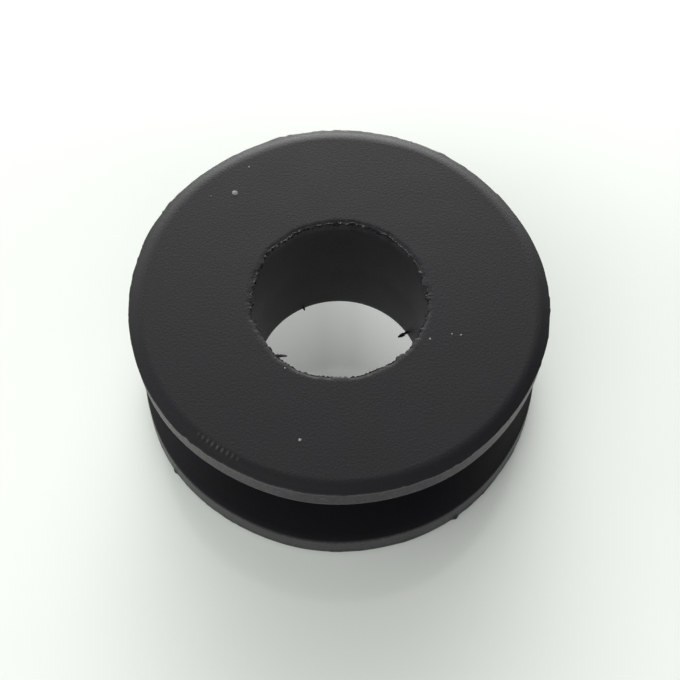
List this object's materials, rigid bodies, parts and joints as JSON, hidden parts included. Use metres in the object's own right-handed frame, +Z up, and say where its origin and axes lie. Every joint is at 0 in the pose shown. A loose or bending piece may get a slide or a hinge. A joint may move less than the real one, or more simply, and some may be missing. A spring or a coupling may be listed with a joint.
{
  "type": "rubber mounting bushing",
  "caption": "Black rubber bushing, a flanged spool with a straight through bore and a groove that grips the edge of a panel's hole.",
  "frame": {"origin": "centre of the bore in the face of the lower flange, which the bushing stands on", "axes": "+Z up along the bore axis; the shape is turned about it, so +X and +Y are free"},
  "size_m": [0.025, 0.025, 0.0096],
  "materials": {
    "rubber": "matte moulded"
  },
  "bodies": {
    "root": {"rubber_bushing": "rubber"}
  },
  "joints": []
}
